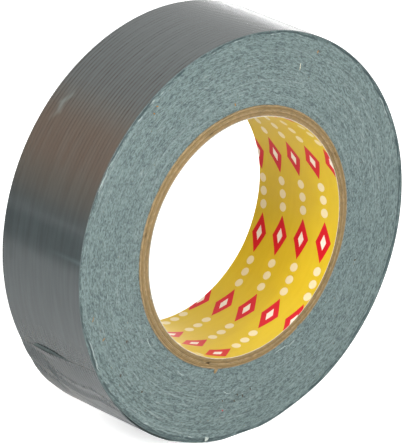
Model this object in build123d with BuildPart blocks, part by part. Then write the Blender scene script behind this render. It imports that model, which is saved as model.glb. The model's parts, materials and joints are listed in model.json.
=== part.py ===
from build123d import *

import math
import os

# Duct tape roll, millimetres.  The roll stands on its rim: its axis is Y, +Z is up,
# and the origin is on the axis at mid-width.  Angles run from +X towards +Z.

# Driving dimensions
TAPE_WIDTH = 36.0
BORE_RADIUS = 38.1
LINER_THICKNESS = 0.15
PLY_THICKNESS = 0.54
PLY_COUNT = 7
ROLL_RADIUS = 65.6
FILM_THICKNESS = 0.08
SCRIM_THICKNESS = 0.07
ADHESIVE_THICKNESS = 0.09

# The soft winding is pressed flat along the band that it stands on
FLAT_DEPTH = 0.3
FLAT_ANGLE = 270.0

# Spiral-wound core: each strip meets itself along a slanting butt seam
SEAM_SLANT = 32.0
SEAM_GAP = 0.3
SEAM_STEP = 137.5
LINER_SEAM_ANGLE = 100.0

# Free end of the tape: it has come unstuck as far as the peel line
PEEL_ANGLE = 241.0
TAIL_SEGMENTS = ("root", "middle", "tip")
SEGMENT_ANGLE = 12.0
TAIL_CLEARANCE = 0.2
BEND_GAP = 0.1

# Sizes that follow
CORE_RADIUS = BORE_RADIUS + LINER_THICKNESS + PLY_COUNT * PLY_THICKNESS
TAPE_THICKNESS = FILM_THICKNESS + SCRIM_THICKNESS + ADHESIVE_THICKNESS
QUARTER_STEP = TAPE_THICKNESS / 4
TAIL_RADIUS = ROLL_RADIUS + TAIL_CLEARANCE
BEND_GAP_ANGLE = math.degrees(BEND_GAP / TAIL_RADIUS)

# Depth of each layer's two faces under the tape's outer face
LAYERS = {
    "film": (0.0, FILM_THICKNESS),
    "scrim": (FILM_THICKNESS, FILM_THICKNESS + SCRIM_THICKNESS),
    "adhesive": (FILM_THICKNESS + SCRIM_THICKNESS, TAPE_THICKNESS),
}


def spiral_turn(depth):
    """Draw one turn of the winding's spiral at this depth: four tangent quarter arcs,
    the first one cut by the flat that the roll stands on."""
    radius = ROLL_RADIUS - depth
    half_flat = math.degrees(math.acos((radius - FLAT_DEPTH) / radius))
    edges = [CenterArc((0, 0), radius, PEEL_ANGLE, FLAT_ANGLE - half_flat - PEEL_ANGLE)]
    after_flat = FLAT_ANGLE + half_flat
    arc_after = CenterArc((0, 0), radius, after_flat, PEEL_ANGLE + 90 - after_flat)
    edges += [Line(edges[0] @ 1, arc_after @ 0), arc_after]
    centre = Vector(0, 0)
    for quarter in range(1, 4):
        start = PEEL_ANGLE + 90 * quarter
        joint = math.radians(start)
        centre = centre + Vector(math.cos(joint), math.sin(joint)) * QUARTER_STEP
        edges.append(CenterArc(centre, radius - quarter * QUARTER_STEP, start, 90))
    return edges


def cut_seam(angle):
    """Slit the open part from the axis outwards, along a slant about this angle."""
    turn = math.radians(angle)
    outwards = (math.cos(turn), 0, math.sin(turn))
    around = (-math.sin(turn), 0, math.cos(turn))
    with BuildSketch(Plane((0, 0, 0), x_dir=around, z_dir=outwards)) as slit:
        Rectangle(4 * CORE_RADIUS, SEAM_GAP, rotation=SEAM_SLANT)
    extrude(slit.sketch, amount=2 * CORE_RADIUS, mode=Mode.SUBTRACT)


def save(name, shape):
    """Label a finished piece and write it as its own node."""
    shape.label = name
    export_step(shape, f"parts/{name}.step")


os.makedirs("parts", exist_ok=True)

# Printed paper that lines the bore
with BuildPart() as printed_liner:
    with BuildSketch(Plane.XZ):
        Circle(BORE_RADIUS + LINER_THICKNESS)
        Circle(BORE_RADIUS, mode=Mode.SUBTRACT)
    extrude(amount=TAPE_WIDTH / 2, both=True)
    cut_seam(LINER_SEAM_ANGLE)
save("printed_liner", printed_liner.part)

# Chipboard plies of the core, from the inside out
for index in range(PLY_COUNT):
    ply_inner = BORE_RADIUS + LINER_THICKNESS + index * PLY_THICKNESS
    with BuildPart() as core_ply:
        with BuildSketch(Plane.XZ):
            Circle(ply_inner + PLY_THICKNESS)
            Circle(ply_inner, mode=Mode.SUBTRACT)
        extrude(amount=TAPE_WIDTH / 2, both=True)
        cut_seam(LINER_SEAM_ANGLE + SEAM_STEP * (index + 1))
    save(f"core_ply_{index + 1}", core_ply.part)

# All the turns under the last one: the adhesive bonds them into one body
with BuildPart() as wound_turns:
    with BuildSketch(Plane.XZ):
        with BuildLine():
            turn_under = spiral_turn(TAPE_THICKNESS)
            Line(turn_under[-1] @ 1, turn_under[0] @ 0)
        make_face()
        Circle(CORE_RADIUS, mode=Mode.SUBTRACT)
    extrude(amount=TAPE_WIDTH / 2, both=True)
save("wound_turns", wound_turns.part)

# The last turn, layer by layer, from the peel line round to below itself
for layer, (outer_depth, inner_depth) in LAYERS.items():
    with BuildPart() as last_turn:
        with BuildSketch(Plane.XZ):
            with BuildLine():
                outside = spiral_turn(outer_depth)
                inside = spiral_turn(inner_depth)
                Line(outside[0] @ 0, inside[0] @ 0)
                Line(outside[-1] @ 1, inside[-1] @ 1)
            make_face()
        extrude(amount=TAPE_WIDTH / 2, both=True)
    save(f"last_turn_{layer}", last_turn.part)

# The loose end, layer by layer, in lengths that bend at the lines between them
for index, segment in enumerate(TAIL_SEGMENTS):
    far_angle = PEEL_ANGLE - SEGMENT_ANGLE * (index + 1) + BEND_GAP_ANGLE / 2
    sweep_angle = SEGMENT_ANGLE - BEND_GAP_ANGLE
    for layer, (outer_depth, inner_depth) in LAYERS.items():
        with BuildPart() as tail:
            with BuildSketch(Plane.XZ):
                with BuildLine():
                    outside = CenterArc((0, 0), TAIL_RADIUS - outer_depth, far_angle, sweep_angle)
                    inside = CenterArc((0, 0), TAIL_RADIUS - inner_depth, far_angle, sweep_angle)
                    Line(outside @ 0, inside @ 0)
                    Line(outside @ 1, inside @ 1)
                make_face()
            extrude(amount=TAPE_WIDTH / 2, both=True)
        save(f"tail_{segment}_{layer}", tail.part)
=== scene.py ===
"""Duct tape roll standing on its rim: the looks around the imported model. Metres, +Z up, axis along Y."""

import json
import math

import bpy
import numpy as np
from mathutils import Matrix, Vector


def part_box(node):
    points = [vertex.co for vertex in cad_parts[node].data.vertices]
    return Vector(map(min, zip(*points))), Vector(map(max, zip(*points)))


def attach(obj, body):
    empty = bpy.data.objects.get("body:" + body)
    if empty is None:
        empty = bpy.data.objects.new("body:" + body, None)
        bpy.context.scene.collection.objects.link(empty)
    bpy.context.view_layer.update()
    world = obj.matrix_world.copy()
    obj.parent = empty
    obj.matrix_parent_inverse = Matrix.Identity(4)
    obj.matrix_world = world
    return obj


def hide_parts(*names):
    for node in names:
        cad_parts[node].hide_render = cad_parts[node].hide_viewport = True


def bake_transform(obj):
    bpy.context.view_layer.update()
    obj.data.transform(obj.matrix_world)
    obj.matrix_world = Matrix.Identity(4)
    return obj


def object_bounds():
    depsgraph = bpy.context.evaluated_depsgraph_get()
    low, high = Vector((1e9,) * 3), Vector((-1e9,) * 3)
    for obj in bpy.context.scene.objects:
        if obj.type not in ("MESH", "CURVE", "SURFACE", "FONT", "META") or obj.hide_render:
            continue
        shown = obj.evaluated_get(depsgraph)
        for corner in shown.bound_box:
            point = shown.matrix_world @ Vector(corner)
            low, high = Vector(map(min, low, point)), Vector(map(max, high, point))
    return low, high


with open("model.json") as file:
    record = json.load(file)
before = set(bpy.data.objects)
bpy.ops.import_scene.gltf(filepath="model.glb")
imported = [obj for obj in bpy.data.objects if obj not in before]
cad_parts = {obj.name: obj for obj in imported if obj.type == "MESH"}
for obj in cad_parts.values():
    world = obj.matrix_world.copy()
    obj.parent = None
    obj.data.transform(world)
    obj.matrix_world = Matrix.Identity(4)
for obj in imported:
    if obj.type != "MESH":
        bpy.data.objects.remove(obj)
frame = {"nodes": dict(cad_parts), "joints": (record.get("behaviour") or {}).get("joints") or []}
cad_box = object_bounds()

MM = 0.001
RNG = np.random.default_rng(7)


# ---------------------------------------------------------------- sizes, from the frame, in mm

def radii(node):
    """(smallest, largest) distance of a CAD node's points from the roll's axis."""
    co = np.array([v.co for v in frame["nodes"][node].data.vertices]) / MM
    reach = np.hypot(co[:, 0], co[:, 2])
    return reach.min(), reach.max()


PROUD = 0.2  # how far the soft winding swells past each nominal side, and half of it past the radius
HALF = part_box("wound_turns")[1].y / MM + PROUD
FLOOR = cad_box[0][2] / MM
BORE, LINER_OUT = radii("printed_liner")
CORE_OUT = radii("core_ply_7")[1]
ROLL = radii("last_turn_film")[1]
FILM = ROLL - radii("last_turn_scrim")[1]
SCRIM = radii("last_turn_scrim")[1] - radii("last_turn_adhesive")[1]
TAPE = ROLL - radii("wound_turns")[1]
JOINTS = {j["name"]: np.array(j["pos_m"]) / MM for j in frame["joints"]}
HINGES = [math.degrees(math.atan2(JOINTS[n][2], JOINTS[n][0])) % 360
          for n in ("tail_peel", "tail_bend_middle", "tail_bend_tip")]
PEEL = HINGES[0]
SEGMENT = HINGES[0] - HINGES[1]
FREE_END = HINGES[2] - SEGMENT
TURNS = int(round((ROLL - TAPE - CORE_OUT) / TAPE))


# ---------------------------------------------------------------- shape helpers

def smooth(x):
    """0 below 0, 1 above 1, eased between."""
    x = np.clip(x, 0.0, 1.0)
    return x * x * (3 - 2 * x)


def bump(x):
    """A hump of height 1 at 0 that is gone at -1 and 1."""
    return np.where(np.abs(x) < 1, np.cos(np.clip(x, -1, 1) * math.pi / 2) ** 2, 0.0)


def field(rows, columns, row_scale, column_scale):
    """Smooth random relief of spread 1, seamless both ways. Scales are in rows and columns."""
    noise = np.fft.fft2(RNG.standard_normal((rows, columns)))
    fr, fc = np.fft.fftfreq(rows)[:, None], np.fft.fftfreq(columns)[None, :]
    noise *= np.exp(-2 * math.pi ** 2 * ((fr * row_scale) ** 2 + (fc * column_scale) ** 2))
    out = np.fft.ifft2(noise).real
    return (out - out.mean()) / max(out.std(), 1e-9)


def sample(relief, x, y):
    """Reads a relief at fractional places x down its rows and y along its columns, both wrapping."""
    rows, columns = relief.shape
    x, y = np.asarray(x) % 1 * rows, np.asarray(y) % 1 * columns
    i, j = np.floor(x).astype(int), np.floor(y).astype(int)
    fx, fy = x - i, y - j
    a, b = relief[i % rows, j % columns], relief[(i + 1) % rows, j % columns]
    c, d = relief[i % rows, (j + 1) % columns], relief[(i + 1) % rows, (j + 1) % columns]
    return (a * (1 - fx) + b * fx) * (1 - fy) + (c * (1 - fx) + d * fx) * fy


def polar(angle, radius, y):
    """Points from angle in degrees, radius and y in mm, as metres."""
    a = np.radians(angle)
    return np.stack(np.broadcast_arrays(radius * np.cos(a), y, radius * np.sin(a)), -1) * MM


def mesh_object(name, points, faces, material, sharp=None):
    """A smooth-shaded object, with edges kept sharp where faces meet at more than so many degrees."""
    mesh = bpy.data.meshes.new(name)
    mesh.from_pydata(points.reshape(-1, 3).tolist(), [], [list(map(int, f)) for f in faces])
    mesh.update()
    mesh.polygons.foreach_set("use_smooth", [True] * len(mesh.polygons))
    if sharp:
        mesh.set_sharp_from_angle(angle=math.radians(sharp))
    mesh.materials.append(material)
    piece = bpy.data.objects.new(name, mesh)
    bpy.context.scene.collection.objects.link(piece)
    return piece


def loop_grid(loops, closed):
    """Faces of a skin over rows of closed loops: a ring if closed, otherwise capped at both ends."""
    rows, size = loops.shape[:2]
    index = np.arange(rows * size).reshape(rows, size)
    ahead = np.roll(index, -1, 0) if closed else index[1:]
    here = index if closed else index[:-1]
    quads = np.stack([here, np.roll(here, -1, 1), np.roll(ahead, -1, 1), ahead], -1).reshape(-1, 4)
    faces = quads.tolist()
    if not closed:
        faces += [index[0][::-1].tolist(), index[-1].tolist()]
    return faces


def band(name, angles, ys, outer, inner, material):
    """A thin curved strip, of outer radii over angles x ys and inner radii over angles x COARSE."""
    top = polar(angles[:, None], outer, ys[None, :])
    under = polar(angles[:, None], inner, COARSE[None, :])
    loops = np.concatenate([top, under[:, ::-1]], 1)
    return mesh_object(name, loops, loop_grid(loops, False), material, 40)


# ---------------------------------------------------------------- materials

def hexed(text):
    """Linear colour of an sRGB hex string."""
    parts = [int(text[i:i + 2], 16) / 255 for i in (1, 3, 5)]
    return tuple(p / 12.92 if p <= 0.04045 else ((p + 0.055) / 1.055) ** 2.4 for p in parts) + (1.0,)


def add_node(tree, kind, inputs=None, **properties):
    """A shader node whose inputs are linked, where the value is a socket, or set."""
    made = tree.nodes.new("ShaderNode" + kind)
    for key, value in properties.items():
        setattr(made, key, value)
    for key, value in (inputs or {}).items():
        put(tree, made.inputs[key], value)
    return made


def put(tree, socket, value):
    if isinstance(value, bpy.types.NodeSocket):
        tree.links.new(value, socket)
    else:
        socket.default_value = value


class Shader:
    """A procedural material on one Principled shader."""

    def __init__(self, name, **constants):
        self.material = bpy.data.materials.new(name)
        self.material.use_nodes = True
        self.tree = self.material.node_tree
        self.shader = self.tree.nodes["Principled BSDF"]
        for key, value in constants.items():
            self.shader.inputs[key.replace("_", " ")].default_value = value

    def node(self, kind, inputs=None, **properties):
        return add_node(self.tree, kind, inputs, **properties)

    def put(self, socket, value):
        put(self.tree, socket, value)

    def math(self, operation, *values):
        made = self.node("Math", operation=operation)
        for socket, value in zip(made.inputs, values):
            self.put(socket, value)
        return made.outputs[0]

    def vector(self, x, y, z):
        return self.node("CombineXYZ", {0: x, 1: y, 2: z}).outputs[0]

    def noise(self, vector, detail, roughness=0.5):
        return self.node("TexNoise", {"Vector": vector, "Scale": 1.0, "Detail": detail,
                                      "Roughness": roughness}).outputs["Fac"]

    def grains(self, arc, across):
        """Random tones in packed crumbs of arc by across mm, sheared so that they never line up in rings."""
        shear_x, shear_y = 0.31, -0.27
        split = self.node("SeparateXYZ", {0: self.around(arc, across)})
        x, y, z = split.outputs
        where = self.vector(self.math("MULTIPLY_ADD", z, shear_x, x),
                            self.math("MULTIPLY_ADD", z, shear_y, y), z)
        cells = self.node("TexVoronoi", {"Vector": where, "Scale": 1.0})
        return self.node("SeparateColor", {0: cells.outputs["Color"]}).outputs[0]

    def between(self, value, low, high):
        """0 below low, 1 above high."""
        made = self.node("MapRange", {"Value": value, "From Min": low, "From Max": high},
                         interpolation_type="SMOOTHSTEP")
        return made.outputs[0]

    def mix(self, factor, first, second):
        made = self.node("Mix", data_type="RGBA")
        self.put(made.inputs[0], factor)
        self.put(made.inputs[6], hexed(first) if isinstance(first, str) else first)
        self.put(made.inputs[7], hexed(second) if isinstance(second, str) else second)
        return made.outputs[2]

    def place(self):
        """x, y, z in the shared frame, in mm."""
        where = self.node("TexCoord").outputs["Object"]
        scaled = self.node("VectorMath", {0: where, "Scale": 1 / MM}, operation="SCALE").outputs[0]
        split = self.node("SeparateXYZ", {0: scaled})
        return split.outputs[0], split.outputs[1], split.outputs[2]

    def length(self, x, y):
        return self.math("SQRT", self.math("ADD", self.math("MULTIPLY", x, x), self.math("MULTIPLY", y, y)))

    def around(self, arc, across):
        """A noise place whose features are arc mm long round the axis and across mm deep, with no seam."""
        typical_radius, y_share = 55.0, 0.7
        x, y, z = self.place()
        r = self.length(x, z)
        turn = typical_radius / arc
        cosine = self.math("MULTIPLY", self.math("DIVIDE", x, r), turn)
        sine = self.math("MULTIPLY", self.math("DIVIDE", z, r), turn)
        depth = self.math("ADD", self.math("DIVIDE", r, across), self.math("MULTIPLY", y, y_share))
        return self.vector(cosine, sine, depth)

    def finish(self, colour, roughness, height, strength, distance):
        """Sets the looks, with a fine relief from height that stands up to distance mm."""
        self.put(self.shader.inputs["Base Color"], colour)
        self.put(self.shader.inputs["Roughness"], roughness)
        relief = self.node("Bump", {"Height": height, "Strength": strength, "Distance": distance * MM})
        self.put(self.shader.inputs["Normal"], relief.outputs[0])
        return self.material


def film_material():
    """Glossy film. Its marks attribute holds where a highlight is painted along the creases, how rubbed and
    how grooved each place is.
    """
    s = Shader("film_grey", IOR=1.5)
    marks = s.node("SeparateXYZ", {0: s.node("Attribute", attribute_name="marks").outputs["Vector"]})
    # pale lightens the film: a painted highlight along the small fold and the line across the roll.
    pale, dull, groove = marks.outputs[0], marks.outputs[1], marks.outputs[2]
    cloud = s.noise(s.around(18.0, 40.0), 3.0)
    weft = s.noise(s.around(0.9, 30.0), 1.0)
    colour = s.mix(s.between(cloud, 0.3, 0.7), "#42494a", "#485051")
    # Darkens the grooves towards a dark brown: painted shade in the valleys between the yarns.
    colour = s.mix(s.math("MULTIPLY", groove, 0.7), s.mix(pale, colour, "#68797a"), "#3d342e")
    s.put(s.shader.inputs["Specular IOR Level"],
          s.math("SUBTRACT", s.math("SUBTRACT", 0.74, s.math("MULTIPLY", dull, 0.4)),
                 s.math("MULTIPLY", groove, 0.3)))
    rough = s.node("MapRange", {"Value": cloud, "To Min": 0.12, "To Max": 0.18}).outputs[0]
    rough = s.math("ADD", rough, s.math("MULTIPLY", dull, 0.12))
    return s.finish(colour, rough, weft, 0.18, 0.02)


def cut_yarns(s, x, z, r):
    """Waves where the cross yarns are cut, by the length of tape from the peel line in to each place."""
    turn = s.math("FRACT", s.math("DIVIDE", s.math("SUBTRACT", s.math("ARCTAN2", z, x), math.radians(PEEL)),
                                  2 * math.pi))
    depth = s.math("DIVIDE", s.math("SUBTRACT", ROLL, r), TAPE)
    count = s.math("ADD", s.math("FLOOR", s.math("SUBTRACT", depth, turn)), turn)
    length = s.math("MULTIPLY", s.math("MULTIPLY", count, 2 * math.pi),
                    s.math("SUBTRACT", ROLL, s.math("MULTIPLY", count, TAPE / 2)))
    slip = s.math("MULTIPLY", s.noise(s.around(9.0, 1.5), 2.0), 3.0)
    yarn = s.math("COSINE", s.math("MULTIPLY", s.math("ADD", length, slip), 2 * math.pi / WEFT_PITCH))
    return s.math("MULTIPLY", yarn, s.between(s.noise(s.around(16.0, 9.0), 2.0), 0.36, 0.62))


def line_inside(s, inward, depth, faint, full):
    """A line at a depth inside the rim, which fades out from full to faint mm on either side of it."""
    return s.between(s.math("ABSOLUTE", s.math("SUBTRACT", inward, depth)), faint, full)


def wound_material():
    """The cut sides of the turns: crumbs of film and adhesive, smears, a painted shadow line and a painted
    highlight line inside the rim, and painted shade at the rim.
    """
    s = Shader("cut_turns", IOR=1.45, Specular_IOR_Level=0.3)
    x, y, z = s.place()
    r = s.length(x, z)
    yarn = cut_yarns(s, x, z, r)
    grain = s.noise(s.vector(x, y, z), 2.0, 0.6)
    crumbs = s.math("ADD", s.math("MULTIPLY", s.grains(0.6, 0.28), 0.6),
                    s.math("MULTIPLY", s.grains(1.1, 0.5), 0.4))
    smear = s.noise(s.around(6.0, 0.5), 3.0, 0.6)
    streak = s.noise(s.around(60.0, 0.7), 3.0)
    patch = s.noise(s.around(30.0, 22.0), 1.0)
    speck = s.noise(s.around(0.8, 0.7), 1.0)
    mixed = s.math("ADD", s.math("MULTIPLY", grain, 0.25), s.math("MULTIPLY", crumbs, 0.75))
    mixed = s.math("ADD", mixed, s.math("MULTIPLY", yarn, 0.07))
    base = s.mix(s.between(mixed, 0.13, 0.87), "#404c4d", "#6b7a78")
    smeared = s.math("MULTIPLY", s.between(smear, 0.54, 0.7), s.between(patch, 0.42, 0.6))
    base = s.mix(s.math("MULTIPLY", smeared, 0.32), base, "#949e9b")
    base = s.mix(s.math("MULTIPLY", s.between(streak, 0.52, 0.75), 0.3), base, "#818e8c")
    wander = s.math("MULTIPLY", s.math("SUBTRACT", s.noise(s.around(7.0, 30.0), 3.0), 0.5), 2.2)
    inward = s.math("ADD", s.math("SUBTRACT", ROLL, r), wander)
    # The two lines inside the rim come and go with a noise: shade is a painted shadow where the outer turns
    # step back, shine a painted highlight line further in.
    line_breakup = s.noise(s.around(5.0, 2.0), 3.0, 0.6)
    shade = s.math("MULTIPLY", line_inside(s, inward, 0.85, 0.5, 0.1), s.between(line_breakup, 0.38, 0.52))
    shine = s.math("MULTIPLY", line_inside(s, inward, 1.45, 0.26, 0.06), s.between(line_breakup, 0.55, 0.66))
    # edge darkens the cut sides just inside the rim: painted shade where the film's edge meets them.
    edge = s.between(r, ROLL - 0.55, ROLL - 0.25)
    base = s.mix(s.math("MULTIPLY", shine, 0.6), base, "#a3adab")
    base = s.mix(s.math("MULTIPLY", shade, 0.85), base, "#2e3b3d")
    base = s.mix(s.math("MULTIPLY", edge, 0.55), base, "#2e3b3d")
    base = s.mix(s.math("MULTIPLY", s.between(speck, 0.75, 0.79), 0.7), base, "#65563e")
    return s.finish(base, 0.62, mixed, 0.35, 0.1)


def board_material(name, shade):
    """Raw chipboard: long fibres, blotches and dark specks."""
    s = Shader(name, IOR=1.4, Specular_IOR_Level=0.2)
    fibre = s.noise(s.around(2.2, 0.14), 4.0, 0.65)
    blotch = s.noise(s.around(7.0, 1.5), 2.0)
    speck = s.noise(s.around(0.45, 0.3), 1.0)
    base = s.mix(s.between(fibre, 0.3, 0.7), "#695b43", shade)
    base = s.mix(s.math("MULTIPLY", s.between(blotch, 0.5, 0.75), 0.4), base, "#5d5037")
    base = s.mix(s.math("MULTIPLY", s.between(speck, 0.72, 0.82), 0.45), base, "#372c1d")
    return s.finish(base, 0.85, fibre, 0.5, 0.1)


def plain_material(name, first, second):
    """For small bits: a fine mottle of two near tones."""
    s = Shader(name, IOR=1.45, Specular_IOR_Level=0.3)
    mottle = s.noise(s.around(0.5, 0.5), 2.0)
    return s.finish(s.mix(s.between(mottle, 0.3, 0.7), first, second), 0.7, mottle, 0.3, 0.05)


def liner_material():
    """Yellow paper with a plain print: red lozenges with cream centres, and three cream dots between them."""
    s = Shader("printed_paper", IOR=1.45, Specular_IOR_Level=0.35)
    split = s.node("SeparateXYZ", {0: s.node("Attribute", attribute_name="paper").outputs["Vector"]})
    along, across = split.outputs[0], split.outputs[1]

    def cell(value, pitch, shift):
        """value wrapped to one repeat of the print, centred on 0."""
        moved = s.math("ADD", value, pitch / 2 - shift)
        return s.math("SUBTRACT", s.math("FLOORED_MODULO", moved, pitch), pitch / 2)

    def lozenge(u, w, half_length, half_height):
        reach = s.math("ADD", s.math("DIVIDE", s.math("ABSOLUTE", u), half_length),
                       s.math("DIVIDE", s.math("ABSOLUTE", w), half_height))
        return s.math("LESS_THAN", reach, 1.0)

    repeat, row = 26.6, 9.37
    lozenge_length, lozenge_height = 13.0, 6.4
    centre_length, centre_height = 5.0, 2.4
    dot_pitch, dot_radius = 4.2, 1.45
    u, w = cell(along, repeat, 0.0), cell(across, row, 0.0)
    red = lozenge(u, w, lozenge_length / 2, lozenge_height / 2)
    centre = lozenge(u, w, centre_length / 2, centre_height / 2)
    offset = cell(along, repeat, repeat / 2)
    near = cell(offset, dot_pitch, 0.0)
    span = s.math("ADD", s.math("MULTIPLY", near, near), s.math("MULTIPLY", w, w))
    dots = s.math("MULTIPLY", s.math("LESS_THAN", span, dot_radius ** 2),
                  s.math("LESS_THAN", s.math("ABSOLUTE", offset), 1.5 * dot_pitch))

    cloud = s.noise(s.around(12.0, 20.0), 3.0)
    base = s.mix(cloud, "#ceb125", "#d6bb30")
    base = s.mix(dots, base, "#e4d8b2")
    base = s.mix(red, base, "#ca1326")
    base = s.mix(centre, base, "#ede4d8")
    return s.finish(base, s.node("MapRange", {"Value": cloud, "To Min": 0.32, "To Max": 0.42}).outputs[0],
                    s.noise(s.around(0.8, 0.8), 3.0), 0.08, 0.03)


def adhesive_material():
    """Tacky, lumpy underside of the tape."""
    s = Shader("adhesive", IOR=1.5, Specular_IOR_Level=0.5)
    lump = s.noise(s.around(1.2, 1.2), 3.0)
    base = s.mix(s.between(lump, 0.3, 0.7), "#4c5e60", "#627172")
    return s.finish(base, 0.38, lump, 0.3, 0.1)


def scrim_material():
    """Cloth of twisted yarns."""
    s = Shader("scrim_yarn", IOR=1.45, Specular_IOR_Level=0.2)
    twist = s.noise(s.around(0.3, 0.3), 2.0)
    base = s.mix(twist, "#4b5757", "#697472")
    return s.finish(base, 0.85, twist, 0.3, 0.05)


# ---------------------------------------------------------------- the roll's outline

# Lengths are in mm and angles in degrees.
RIBS = 26  # valleys between the warp yarns, counted across the tape
RIB_PITCH = 2 * HALF / RIBS
GROOVE_DEPTH, GROOVE_REACH = 0.10, 0.33
WEFT_PITCH = 3.1
DENT_ANGLE, DENT_SPAN, DENT_DEPTH = 289.0, 15.0, 0.42
LOOSE_FROM, LOOSE_TO, LOOSE_LIFT = 274.0, 238.0, 0.62
BULGE_FROM, BULGE_TO = 206.0, 232.0
TIGHT_ANGLE = 122.0  # where the film is drawn tightest over the yarns, and where the grooves get the most painted shade
FOLD_ANGLE, FOLD_Y, FOLD_SPAN = 135.0, 11.5, 6.4  # the small zig-zag fold
LINE_ANGLE = 173.0  # the line across the roll

FINE = np.unique(np.concatenate([
    np.clip((np.arange(RIBS) + 0.5)[:, None] * RIB_PITCH - HALF
            + np.array([-0.44, -0.27, -0.12, 0.0, 0.12, 0.27, 0.44])[None, :], -HALF, HALF).ravel(),
    [-HALF, -HALF + 0.08, -HALF + 0.2, HALF - 0.2, HALF - 0.08, HALF]]))
COARSE = np.linspace(-HALF, HALF, 40)

FLUTTER = field(64, 256, 5.0, 7.0)
DASHES = field(RIBS * 4, 512, 0.9, 2.2)
TURN_RELIEF = field(128, 512, 0.6, 9.0)
TURN_GROUPS = field(128, 64, 2.5, 8.0)


def outline(angle):
    """How far the last turns stand off their true spiral: pressed in at the dent, loose at the peel line."""
    a = np.asarray(angle, float) % 360
    dent = -DENT_DEPTH * bump((a - DENT_ANGLE) / DENT_SPAN)
    loose = smooth((LOOSE_FROM - a) / (LOOSE_FROM - LOOSE_TO))
    bulge = smooth((a - BULGE_FROM) / (BULGE_TO - BULGE_FROM))
    return dent + LOOSE_LIFT * loose * bulge


def seat(angle, radius, depth=0.0):
    """Keeps points above the flat that the roll stands on."""
    sine = np.sin(np.radians(angle))
    limit = np.where(sine < -0.7, (FLOOR + depth) / np.minimum(sine, -0.7), 1e9)
    return np.minimum(radius, limit)


def spiral(angle):
    """Radius of the tape's outer face, for angles that run on from the peel line for one turn."""
    return ROLL - TAPE * (np.asarray(angle, float) - PEEL) / 360


def weave(angle, y):
    """How deep the valleys between the warp yarns are, 0 to 1.5: deepest where the film is drawn tight."""
    place = (y + HALF) / RIB_PITCH % 1 - 0.5
    valley = bump(place * RIB_PITCH / GROOVE_REACH)
    arc = np.radians(angle) * ROLL
    weft = 0.75 + 0.25 * np.cos(2 * math.pi * arc / WEFT_PITCH)
    broken = 0.95 + 0.16 * sample(DASHES, y / (2 * HALF) + 0.5, angle / 360)
    long_valley = 1.5 * bump((y + 13.85) / 0.6) * bump((angle - 114) / 9) * (np.asarray(angle) < 360)
    tight = 0.35 + 0.65 * bump((np.asarray(angle) % 360 - TIGHT_ANGLE) / 34)
    return np.minimum(valley * weft * np.clip(broken, 0.15, 1.4) * tight + long_valley, 1.5)


def grooves(angle, y):
    """The valleys between the yarns as relief."""
    return -GROOVE_DEPTH * weave(angle, y)


def zigzag(angle, y):
    """A small fold near the rear edge that runs to and fro as it goes round."""
    a = np.asarray(angle, float)
    line = FOLD_Y + 1.3 * np.abs((a / 2.8) % 2 - 1) + 0.16 * (a - FOLD_ANGLE)
    return bump((y - line) / 1.7) * bump((a - FOLD_ANGLE + 0.2) / FOLD_SPAN)


def wrinkles(angle, y):
    """The few marks in the last turn that are no part of its weave."""
    a = np.asarray(angle, float)
    line = 0.10 * bump((a - LINE_ANGLE - 0.015 * y) / 0.75) * smooth((6.0 - y) / 8.0)
    nick = -0.06 * bump((a - 85.9) / 0.7) * bump((y + 5.2 + 0.8 * (a - 85.9)) / 0.8)
    swell = 0.05 * bump((y - 4.0 - 0.5 * (a - 88)) / 1.6) * bump((a - 90) / 9.0)
    return 0.16 * zigzag(a, y) + line + nick + swell


def crease_highlights(angle, y):
    """Where a highlight is painted on the film: along the small fold and the line across the roll."""
    a = np.asarray(angle, float) % 360
    line = bump((a - LINE_ANGLE + 0.2 - 0.02 * y) / 0.55) * smooth((-1.0 - y) / 4.0)
    return 0.8 * zigzag(a, y) + 0.4 * line


def dull_marks(angle, y):
    """Where the film is rubbed dull: the pressed rear corner of the loose end, and a smudge."""
    a = np.asarray(angle, float) % 360
    across = smooth((y - 6.5 - 0.10 * (a - 208)) / 2.0)
    along = smooth((a - 206.0) / 1.5) * smooth((230.0 - a) / 5.0)
    smudge = bump((a - 177.5) / 2.2) * bump((y - 14.2) / 3.0)
    return np.clip(0.9 * across * along + 0.7 * smudge, 0, 1)


def mark_film(piece, angles):
    """Stores the marks on a film piece, whose loops run over FINE outside and back over COARSE inside."""
    a, y = angles[:, None], np.concatenate([FINE, COARSE[::-1]])[None, :]
    outside = (np.arange(y.size) < FINE.size)[None, :]
    # tight makes the painted shade in the grooves strongest round TIGHT_ANGLE.
    tight = 0.3 + 0.7 * bump((a % 360 - TIGHT_ANGLE) / 24)
    marks = np.stack([m * outside for m in (crease_highlights(a, y), dull_marks(a, y), weave(a, y) * tight)], -1)
    attribute = piece.data.attributes.new("marks", "FLOAT_VECTOR", "POINT")
    attribute.data.foreach_set("vector", marks.reshape(-1).astype(np.float32))


def edge_drop(y):
    """How far the film's cut edges turn down."""
    depth, width = 0.05, 0.22
    return depth * smooth((np.abs(y) - (HALF - width)) / width)


def film_base(angle, y):
    """Outer face of the last turn's film without its weave."""
    flutter = 0.012 * sample(FLUTTER, y / (2 * HALF) * 0.4, angle / 360 * 2)
    return seat(angle, spiral(angle) + outline(angle) + flutter + PROUD / 2)


def film_top(angle, y):
    """Outer face of the last turn's film with its weave and marks."""
    return film_base(angle, y) - edge_drop(y) + grooves(angle, y) + wrinkles(angle, y)


# ---------------------------------------------------------------- pieces

def rest_on(piece, body, slot, *nodes):
    """Ties a rigid piece to its body and hides the CAD nodes that it stands for. The slot is not used."""
    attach(piece, body)
    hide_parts(*nodes)


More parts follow.
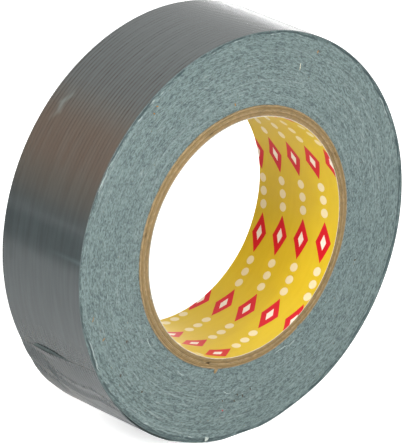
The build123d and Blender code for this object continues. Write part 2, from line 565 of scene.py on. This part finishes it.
def make_wound_turns(material):
    """All the turns under the last one, each a ridge on the cut sides, in a front and a rear half."""
    angles = np.arange(0, 360, 1.0)
    edge = np.arange(2 * TURNS + 1)[None, :]  # a crest and a valley for each turn
    a, share = np.meshgrid(angles, edge[0] / (2 * TURNS), indexing="ij")
    outer = spiral(PEEL + (angles - PEEL) % 360) - TAPE + PROUD / 2
    radius = CORE_OUT + (outer[:, None] - CORE_OUT) * share + outline(angles)[:, None] * share ** 5
    radius = seat(a, radius, (1 - share) * (ROLL - CORE_OUT) + TAPE + 0.03)
    inward = TURNS - edge / 2
    wander = 4.0 + 1.5 * sample(TURN_GROUPS, 0.37, angles / 360)[:, None]
    step = -0.24 * bump((inward - wander) / 3.0) - 0.1 * smooth((2.5 - inward) / 2.5)
    crest = np.where(edge % 2 == 1, 0.0, -0.05)
    for side, name in ((-1, "wound_turns_front"), (1, "wound_turns_rear")):
        row = edge // 2 / TURN_RELIEF.shape[0] + 0.5 * (side > 0)
        relief = 0.035 * sample(TURN_RELIEF, row, a / 360)
        groups = 0.05 * sample(TURN_GROUPS, row, a / 360)
        y = side * (HALF - 0.06 + relief + groups + crest + step)
        face = polar(a, radius, y)
        rim_in = polar(angles, radius[:, 0], 0.0)[:, None]
        rim_out = polar(angles, radius[:, -1], 0.0)[:, None]
        loops = np.concatenate([rim_in, face, rim_out], 1)
        if side < 0:
            loops = loops[:, ::-1]
        piece = mesh_object(name, loops, loop_grid(loops, True), material, 50)
        rest_on(piece, "roll", "wound_tape", "wound_turns")


MOUTH_WEAR, MOUTH_LEAN, REAR_WEAR = 0.48, 0.3, 0.45  # mm that the bore is worn wider at its ends
MOUTH_FROM, MOUTH_REACH = 4.0, 14.5  # distance from mid-width where the wear begins, and its length
SEAM_ANGLE, SEAM_STEP = 100.0, 137.5  # place of the lining's seam at mid-width, and from ply to ply
SEAM_SLANT = 32.0  # degrees between a seam and the way round the roll
PLY_PROUD = (0.22, 0.36, 0.45, 0.5, 0.52, 0.48, 0.42)  # how far each ply stands out of the sides


def flared(radius, angle, y):
    """Opens the mouths of the core and its lining a little, most at the front's lower right."""
    y = np.asarray(y, float)
    front = MOUTH_WEAR + MOUTH_LEAN * np.cos(np.radians(angle + 30.0))
    mouth = smooth((np.abs(y) - MOUTH_FROM) / MOUTH_REACH) * np.where(y < 0, front, REAR_WEAR)
    return radius + mouth * (CORE_OUT - radius) / (CORE_OUT - BORE)


def seam_turn(radius):
    """Degrees that a seam turns per mm along the axis."""
    return math.degrees(1 / (radius * math.tan(math.radians(SEAM_SLANT))))


def make_core(materials):
    """Chipboard plies, each a strip wound to a tube whose ends meet at a slanting seam."""
    lip = 0.12  # rounding of the strips' edges
    for index, proud in enumerate(PLY_PROUD):
        name = f"core_ply_{index + 1}"
        inner, outer = radii(name)
        slant = seam_turn(outer)
        seam = SEAM_ANGLE + SEAM_STEP * (index + 1)
        steps = np.linspace(0.004, 0.996, 300)
        rough = sample(TURN_RELIEF, index * 0.11 + 0.03, steps) * 0.07
        loops = []
        for s, wobble in zip(steps, rough):
            end = HALF + proud + wobble
            across = np.linspace(-end + lip, end - lip, 25)
            ys = np.concatenate([across, [end, end], across[::-1], [-end, -end]])
            rs = np.concatenate([0 * across + outer, [outer - lip, inner + lip], 0 * across + inner,
                                 [inner + lip, outer - lip]])
            angle = seam + s * 360 + slant * ys
            loops.append(polar(angle, flared(rs, angle, ys), ys))
        loops = np.array(loops)
        material = materials[index % len(materials)]
        piece = mesh_object(f"{name}_strip", loops, loop_grid(loops, False), material, 50)
        rest_on(piece, "roll", "core_board", name)


PRINT_SLANT = 10.1  # degrees from round the bore
PRINT_ANGLE, PRINT_Y = -61.2, -9.3  # the middle of one lozenge


def make_liner(material, cut):
    """Printed paper lining. Its unrolled place, turned to the slant of the print, is kept for the pattern."""
    steps = np.linspace(0.002, 0.998, 361)
    s, v = np.meshgrid(steps, np.linspace(-1, 1, 37), indexing="ij")
    ragged = 0.06 * sample(TURN_RELIEF, 0.81, s)
    y = v * (HALF + 0.32 + ragged)
    angle = SEAM_ANGLE + 360 * s + seam_turn(BORE) * y
    outer, inner = (polar(angle, flared(radius, angle, y), y) for radius in (LINER_OUT, BORE))
    loops = np.concatenate([outer, inner[:, ::-1]], 1)
    piece = mesh_object("printed_liner_paper", loops, loop_grid(loops, False), material, 50)
    piece.data.materials.append(cut)
    columns = s.shape[1]
    for face in piece.data.polygons:
        spots = [corner % (2 * columns) for corner in face.vertices]
        if len(spots) > 4 or min(spots) < columns:  # an end cap, or not wholly on the inner face
            face.material_index = 1
    turn = math.radians(PRINT_SLANT)
    arc = np.radians(angle - 360 - PRINT_ANGLE) * BORE
    arc = np.concatenate([arc, arc[:, ::-1]], 1)
    width = np.concatenate([y, y[:, ::-1]], 1) - PRINT_Y
    paper = np.stack([arc * math.cos(turn) + width * math.sin(turn),
                      width * math.cos(turn) - arc * math.sin(turn), 0 * arc], -1)
    attribute = piece.data.attributes.new("paper", "FLOAT_VECTOR", "POINT")
    attribute.data.foreach_set("vector", paper.reshape(-1).astype(np.float32))
    rest_on(piece, "roll", "liner_paper", "printed_liner")


FILM_SINK = 0.042  # how much lower the film's inner face lies, to make room for its grooves
FILM_GAP, CLOTH_GAP, COAT_GAP = 0.003, 0.002, 0.01  # clearances under the film, cloth and adhesive


def layers_under(name, angles, base, scrim, adhesive):
    """The cloth and adhesive under a length of film whose plain outer face is base, over angles x COARSE."""
    cloth = base - FILM - FILM_SINK - FILM_GAP
    cloth_piece = band(f"{name}_scrim_cloth", angles, COARSE, cloth, cloth - SCRIM, scrim)
    coat = cloth - SCRIM - CLOTH_GAP
    coat_piece = band(f"{name}_adhesive_coat", angles, COARSE, coat, base - TAPE + COAT_GAP, adhesive)
    return cloth_piece, coat_piece


def make_last_turn(film, scrim, adhesive):
    """The film, cloth and adhesive of the last turn, from past the peel line round to it again."""
    angles = np.arange(PEEL + SEGMENT / 2, PEEL + 360, 0.9)
    top = film_top(angles[:, None], FINE[None, :])
    base = film_base(angles[:, None], COARSE[None, :])
    piece = band("last_turn_film_skin", angles, FINE, top, base - FILM - FILM_SINK, film)
    mark_film(piece, angles)
    rest_on(piece, "roll", "tape_film", "last_turn_film")
    cloth, coat = layers_under("last_turn", angles, base, scrim, adhesive)
    rest_on(cloth, "roll", "scrim_cloth", "last_turn_scrim")
    rest_on(coat, "roll", "tape_adhesive", "last_turn_adhesive")


def crease(y):
    """Angle of the fold that crosses the loose end, for each place across it."""
    return np.interp(y, [-18, -10, -4, 0, 5, 8, 9, 18], [218.5, 215.5, 216.5, 216.5, 215, 212.5, 208.5, 207])


def tail_lift(angle, y):
    """How far the loose end stands off the turn under it."""
    a = np.asarray(angle, float)
    past = a - crease(y)
    lift = 0.03 + 0.3 * smooth((past + 1.0) / 9.0) - 0.08 * smooth((a - 236) / 10)
    front = smooth((9.5 - y) / 1.5)
    lift += 0.28 * bump(past / 1.15) * front * (0.75 + 0.25 * np.cos(1.3 * y))
    lift -= 0.14 * bump((past - 2.6) / 2.0) * front
    lift += 0.16 * bump((past - 5.6 - 0.12 * y) / 1.7) * smooth((11 - y) / 5)
    lift += 0.09 * bump((past - 9.5 + 0.2 * y) / 2.0) * smooth((14 - y) / 8)
    rear = smooth((y - 7.5) / 2.5)
    lift += rear * (0.30 * bump((a - 220.5) / 8.0) - 0.12 * bump((a - 223.0 + 0.5 * y) / 2.5))
    lip = 0.11 * smooth((209.5 - a) / 4) * bump((y - 4.2) / 7.5)
    pressed = 0.21 * smooth((208.0 - a) / 3.0) * (1 - smooth((y + 7.5) / 6.0) * smooth((12.6 - y) / 1.2))
    return lift + lip - pressed


def tail_base(angle, y):
    """Outer face of the loose end without its weave, easing into the last turn at the peel line."""
    ease = smooth((PEEL + SEGMENT / 2 - angle) / 5)
    loose = spiral(angle) + outline(angle) + tail_lift(angle, y) + PROUD / 2
    return film_base(angle, y) * (1 - ease) + loose * ease


def tail_top(angle, y):
    """Outer face of the loose end's film with its weave."""
    return tail_base(angle, y) - edge_drop(y) + grooves(angle, y)


def film_end(y):
    """Angle at which the film is cut, for each place across the tape."""
    return 205.5 + 0.7 * smooth((y + 14) / 8)


def cloth_end(y):
    """Angle at which the cloth and adhesive end, for each place across: past the film where it was torn."""
    return film_end(y) - 0.05 - 1.3 * smooth((y + 5.0) / 9.0) * smooth((11.4 - y) / 1.0)


def trim_end(piece, cut):
    """Moves the free end of a layer to the angle cut(y), easing to nothing a few degrees in."""
    span = 5.0
    for vertex in piece.data.vertices:
        x, y, z = (c / MM for c in vertex.co)
        angle = math.degrees(math.atan2(z, x)) % 360
        share = max(0.0, 1 - (angle - FREE_END) / span)
        turned = math.radians(angle + float(cut(y) - FREE_END) * share)
        reach = math.hypot(x, z)
        vertex.co = (reach * math.cos(turned) * MM, vertex.co.y, reach * math.sin(turned) * MM)


def gape(angle, y):
    """How far the film's cut end stands off the cloth under it."""
    return 0.16 * smooth((208.2 - angle) / 2.2) * bump((y - 5.5) / 7.0)


BEND_BEFORE, BEND_AFTER = 0.6, 5.6  # degrees either side of a hinge, giving the ends of the span where a length of tape would bend; nothing here bends it


def make_tail(film, scrim, adhesive):
    """The loose end, in lengths that each span one hinge."""
    limits = [PEEL + SEGMENT / 2] + [h - SEGMENT / 2 for h in HINGES]
    limits[-1] = FREE_END
    for index, part in enumerate(("root", "middle", "tip")):
        start, end = (Vector(polar(HINGES[index] + d, ROLL, 0.0)) for d in (BEND_BEFORE, -BEND_AFTER))
        angles = np.linspace(limits[index + 1], limits[index], 33 if part == "tip" else 25)
        name = f"tail_{part}"
        base = tail_base(angles[:, None], COARSE[None, :])
        top = tail_top(angles[:, None], FINE[None, :]) + gape(angles[:, None], FINE[None, :])
        under = base - FILM - FILM_SINK + gape(angles[:, None], COARSE[None, :])
        piece = band(f"{name}_film_skin", angles, FINE, top, under, film)
        mark_film(piece, angles)
        cloth, coat = layers_under(name, angles, base, scrim, adhesive)
        if part == "tip":
            trim_end(piece, film_end)
            trim_end(cloth, cloth_end)
            trim_end(coat, cloth_end)
        for made, layer, slot in ((piece, "film", "tape_film"), (cloth, "scrim", "scrim_cloth"),
                                  (coat, "adhesive", "tape_adhesive")):
            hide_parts(f"{name}_{layer}")
            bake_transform(made)


LINT = (  # angle, radius, length, width, direction from the radius in degrees, colour name
    (66, 55, 2.2, 0.25, 15, "cream"), (133, 41.5, 1.6, 0.5, 70, "cream"), (61, 61, 0.9, 0.4, 10, "orange"),
    (95, 44.5, 1.0, 0.4, 5, "orange"), (124, 62, 0.8, 0.4, 45, "orange"), (126, 61, 0.7, 0.4, 10, "orange"),
    (190, 61, 1.6, 0.2, 60, "orange"), (198, 59, 1.2, 0.3, 20, "orange"), (261, 56, 0.7, 0.4, 60, "red"),
    (146, 65, 5.0, 0.15, 90, "pale"), (151, 65, 4.0, 0.2, 90, "pale"), (204, 64.5, 4.5, 0.15, 85, "pale"),
    (212, 45.5, 3.5, 0.15, 80, "pale"), (236, 46, 4.0, 0.12, 85, "pale"), (262, 50.5, 3.5, 0.15, 75, "pale"),
    (290, 44, 5.5, 0.15, 85, "pale"), (296, 45, 3.0, 0.15, 95, "pale"),
)
CRUMBS = ((222, 56, 2), (266, 54, 5), (205, 50, 1), (345, 50, 1))  # angle and radius of a patch, and how many
LINT_COLOURS = {"cream": ("#c9c3ad", "#b3ab8f"), "orange": ("#9c7133", "#7b5621"),
                "brown": ("#433b2d", "#312a1f"), "red": ("#a73b3f", "#862c2f"),
                "pale": ("#adb9b5", "#92a09d")}


def add_fibre(points, faces, side, angle, radius, length, width, lean):
    """A slightly bent fibre of four-sided section that tapers at both ends, lying on one side (-1 or 1)."""
    first = len(points)
    bend = RNG.uniform(-0.5, 0.5)
    count = 7
    for i in range(count):
        t = i / (count - 1) - 0.5
        heading = math.radians(lean) + bend * t
        along, across = length * t * math.cos(heading), length * t * math.sin(heading)
        half = width / 2 * math.cos(t * 2.6) ** 0.5
        for off_r, off_y in ((-1, 0.0), (0, 1.0), (1, 0.0), (0, -0.6)):
            r = radius + along - half * off_r * math.sin(heading)
            arc = across + half * off_r * math.cos(heading)
            y = side * (HALF + 0.06 + 0.5 * min(half, 0.12) * off_y + 0.05 * math.cos(3 * t))
            points.append(polar(angle + math.degrees(arc / radius), r, y))
    for i in range(count - 1):
        a = first + 4 * i
        for j in range(4):
            k = (j + 1) % 4
            faces.append([a + j, a + k, a + 4 + k, a + 4 + j][::side])
    faces.append([first + j for j in (3, 2, 1, 0)][::side])
    faces.append([first + 4 * (count - 1) + j for j in range(4)][::side])


def make_lint():
    """Short fibres and crumbs that stick to the cut sides. The rear side has some of its own."""
    spots = {name: [] for name in LINT_COLOURS}
    for angle, radius, length, width, lean, colour in LINT:
        spots[colour].append((-1, angle, radius, length, width, lean))
    for angle, radius, count in CRUMBS:
        for _ in range(count):
            spots["brown"].append((-1, angle + RNG.uniform(-10, 10), radius + RNG.uniform(-3, 3),
                                   RNG.uniform(0.5, 0.9), RNG.uniform(0.4, 0.6), RNG.uniform(0, 60)))
    names = list(LINT_COLOURS)
    rear_count = 26
    for _ in range(rear_count):
        colour = names[int(RNG.integers(len(names)))]
        spots[colour].append((1, RNG.uniform(0, 360), RNG.uniform(44, 63), RNG.uniform(0.5, 2.5),
                              RNG.uniform(0.12, 0.35), RNG.uniform(0, 180)))
    for colour, places in spots.items():
        points, faces = [], []
        for spot in places:
            add_fibre(points, faces, *spot)
        piece = mesh_object(f"lint_{colour}", np.array(points), faces,
                            plain_material(f"lint_{colour}", *LINT_COLOURS[colour]), 60)
        rest_on(piece, "roll", "wound_tape", "wound_turns")


def make_scrap(name, angle, radius, length, width, material):
    """A thin torn flake that lies on the front side, domed and wider in its middle."""
    points, faces, rows, columns, thickness = [], [], 9, 6, 0.09
    for i in range(rows):
        t = i / (rows - 1)
        half = width / 2 * (0.35 + 0.65 * math.sin(math.pi * min(1.0, 0.25 + t * 0.75)) ** 0.8)
        for j in range(columns):
            v = j / (columns - 1) * 2 - 1
            jag = RNG.uniform(-0.06, 0.06)
            r = radius + length * (t - 0.5) + jag
            off = math.degrees((v * half + 0.25 * math.sin(4 * t) + jag) / radius)
            y = -(HALF + 0.1 + 0.16 * math.sin(math.pi * t) * (1 - v * v) + 0.12 * v * v * t)
            points.append(polar(angle + off, r, y))
    front = len(points)
    points += [(p[0], p[1] + thickness * MM, p[2]) for p in points]
    for i in range(rows - 1):
        for j in range(columns - 1):
            a = i * columns + j
            quad = [a, a + columns, a + columns + 1, a + 1]
            faces += [quad, [front + q for q in quad[::-1]]]
    rim = (list(range(columns)) + [(i + 1) * columns - 1 for i in range(1, rows)]
           + [rows * columns - 1 - j for j in range(1, columns)]
           + [i * columns for i in range(rows - 2, 0, -1)])
    for a, b in zip(rim, rim[1:] + rim[:1]):
        faces.append([a, b, front + b, front + a])
    return mesh_object(name, np.array(points), faces, material, 60)


def make_scraps(board, cloth):
    """A splinter of board pulled over the first turns, and a curl of cloth at the rim."""
    rest_on(make_scrap("board_splinter", 254.1, 41.9, 3.3, 1.6, board), "roll", "core_board", "core_ply_7")
    rest_on(make_scrap("rim_curl", 256.2, 64.9, 1.5, 1.5, cloth), "roll", "scrim_cloth", "wound_turns")


# ---------------------------------------------------------------- studio

def flat_sheet(name, x_range, y_range, z, material):
    """A level rectangle, in metres."""
    (left, right), (near, far) = x_range, y_range
    corners = np.array([[left, near, z], [right, near, z], [right, far, z], [left, far, z]])
    return mesh_object(name, corners, [[0, 1, 2, 3]], material)


def make_floor():
    """A pale sheet that glows faintly far from the roll, and everywhere as the camera sees it."""
    s = Shader("floor_pale", Roughness=0.9, Specular_IOR_Level=0.0)
    s.shader.inputs["Base Color"].default_value = (0.95, 0.95, 0.95, 1)
    s.shader.inputs["Emission Color"].default_value = (1, 1, 1, 1)
    far_glow, seen_glow = 0.35, 0.68
    x, y, _ = s.place()
    far = s.math("MULTIPLY", s.between(s.length(x, y), 260, 480), far_glow)
    direct = s.math("MULTIPLY", s.node("LightPath").outputs["Is Camera Ray"], seen_glow)
    s.put(s.shader.inputs["Emission Strength"], s.math("MAXIMUM", far, direct))
    flat_sheet("floor", (-4.0, 4.0), (-4.0, 4.0), (FLOOR - 0.02) * MM, s.material)


def make_flag():
    """A dark sheet on the floor's left, seen only in reflections: the film's dark band ends at its edge."""
    material = bpy.data.materials.new("flag_dark")
    material.use_nodes = True
    tree = material.node_tree
    tree.nodes.clear()
    glow = add_node(tree, "Emission", {"Color": (0.15, 0.16, 0.16, 1)})
    add_node(tree, "OutputMaterial", {"Surface": glow.outputs[0]})
    flag = flat_sheet("flag", (-3.5, -0.245), (-1.0, 3.5), (FLOOR + 0.6) * MM, material)
    for ray in ("camera", "diffuse", "transmission", "volume_scatter", "shadow"):
        setattr(flag, f"visible_{ray}", False)


# Linear tones of the tent's light by direction, then of what reflections see in front and straight behind.
CEILING = (0.14, 0.14, 0.14, 1)
FRONT_RIGHT, FRONT_LEFT = (0.6, 0.6, 0.6, 1), (0.0, 0.0, 0.0, 1)
BACK_RIGHT, BACK_LEFT = (0.5, 0.5, 0.5, 1), (0.0, 0.0, 0.0, 1)
FRONT_SEEN, DEEP_SEEN = (1.25, 1.25, 1.25, 1), (0.12, 0.105, 0.09, 1)

# The wall as reflections see it: degrees round from the right, over the top, to the left, and linear tone.
WALL = ((0, (1.9, 1.9, 1.9)), (8, (0.92, 0.92, 0.91)), (24, (0.94, 0.94, 0.93)), (32, (0.98, 0.98, 0.97)),
        (50, (1.15, 1.15, 1.13)), (65, (1.3, 1.29, 1.26)), (85, (1.42, 1.4, 1.36)), (106, (1.45, 1.36, 1.27)),
        (116, (1.6, 1.2, 0.9)), (128, (1.65, 0.8, 0.35)), (146, (1.5, 0.7, 0.28)), (160, (0.95, 0.54, 0.25)),
        (168, (0.7, 0.43, 0.24)), (175, (0.34, 0.26, 0.19)), (180, (0.16, 0.17, 0.17)))


def make_world():
    """A light tent. Reflections also see its warm wall and the dark gap under it at the left rear."""
    world = bpy.data.worlds.new("studio")
    bpy.context.scene.world = world
    world.use_nodes = True
    tree = world.node_tree
    tree.nodes.clear()

    def new(kind, inputs=None, **properties):
        return add_node(tree, kind, inputs, **properties)

    def ramp_between(socket, low, high):
        return new("MapRange", {"Value": socket, "From Min": low, "From Max": high}).outputs[0]

    def blend(factor, first, second):
        return new("Mix", {0: factor, 6: first, 7: second}, data_type="RGBA").outputs[2]

    x, y, z = new("SeparateXYZ", {0: new("TexCoord").outputs["Generated"]}).outputs
    turn = new("Math", {0: z, 1: x}, operation="ARCTAN2")
    ramp = new("ValToRGB", {0: ramp_between(turn.outputs[0], 0.0, math.pi)})
    elements = ramp.color_ramp.elements
    for element, (angle, tone) in zip((elements[0], elements[1]), (WALL[0], WALL[-1])):
        element.position = angle / 180
        element.color = tone + (1,)
    for angle, tone in WALL[1:-1]:
        elements.new(angle / 180).color = tone + (1,)

    tent = blend(ramp_between(y, -0.1, 0.25), FRONT_SEEN, ramp.outputs[0])
    seen = blend(ramp_between(y, 0.725, 0.9), tent, DEEP_SEEN)
    high, left, back = ramp_between(z, 0.45, 0.85), ramp_between(x, 0.25, -0.25), ramp_between(y, -0.3, 0.3)
    walls = blend(back, blend(left, FRONT_RIGHT, FRONT_LEFT), blend(left, BACK_RIGHT, BACK_LEFT))
    soft = new("Background", {0: blend(high, walls, CEILING)})
    gloss = new("Background", {0: seen})
    plain = new("Background", {0: (1, 1, 1, 1), 1: 1.05})
    path = new("LightPath")
    mirror = new("MixShader", {0: path.outputs["Is Glossy Ray"], 1: soft.outputs[0], 2: gloss.outputs[0]})
    both = new("MixShader", {0: path.outputs["Is Camera Ray"], 1: mirror.outputs[0], 2: plain.outputs[0]})
    new("OutputWorld", {0: both.outputs[0]})


# name, place and size in metres, and power in watts
LAMPS = (("front", (0.0, -1.1, 0.25), 0.3, 2.6), ("high", (0.05, -0.8, 0.7), 0.4, 6.2),
         ("key", (-0.2, -0.4, 0.13), 0.2, 1.25), ("left_high", (-0.9, -0.15, 0.8), 0.3, 4.7),
         ("left", (-1.1, -0.28, 0.35), 0.3, 1.4), ("back", (0.9, 1.0, 0.1), 0.4, 10.0))


def make_lights():
    """Round softboxes aimed at the roll, which reflections don't see."""
    for name, place, size, energy in LAMPS:
        lamp = bpy.data.lights.new(name, "AREA")
        lamp.shape = "DISK"
        lamp.size = size
        lamp.energy = energy
        softbox = bpy.data.objects.new(name, lamp)
        softbox.location = place
        softbox.rotation_euler = (-Vector(place)).to_track_quat("-Z", "Y").to_euler()
        bpy.context.scene.collection.objects.link(softbox)
        softbox.visible_glossy = False


def make_camera():
    """A long lens from the front left, a little above the roll."""
    azimuth, elevation, distance = math.radians(-40.74), math.radians(21.98), 1.5857
    target = Vector((-0.98, 0.69, -0.26)) * MM
    away = Vector((math.sin(azimuth) * math.cos(elevation), -math.cos(azimuth) * math.cos(elevation),
                   math.sin(elevation)))
    lens = bpy.data.cameras.new("camera")
    lens.lens = 418.3
    lens.sensor_width = 36.0
    lens.clip_start = 0.05
    lens.clip_end = 20.0
    camera = bpy.data.objects.new("camera", lens)
    camera.location = target + away * distance
    camera.rotation_euler = (-away).to_track_quat("-Z", "Y").to_euler()
    bpy.context.scene.collection.objects.link(camera)
    bpy.context.scene.camera = camera


make_camera()
make_world()
make_lights()
make_floor()
make_flag()
bpy.context.scene.view_settings.view_transform = "Standard"

film = film_material()
scrim = scrim_material()
adhesive = adhesive_material()
boards = [board_material("board_light", "#9b8563"), board_material("board_mid", "#8f7853"),
          board_material("board_dark", "#816943")]
cut_paper = plain_material("cut_paper", "#b3b0a4", "#c8c5bc")
make_wound_turns(wound_material())
make_core(boards)
make_liner(liner_material(), cut_paper)
make_last_turn(film, scrim, adhesive)
make_tail(film, scrim, adhesive)
make_lint()
make_scraps(boards[0], plain_material("frayed_cloth", "#768481", "#a7ada6"))
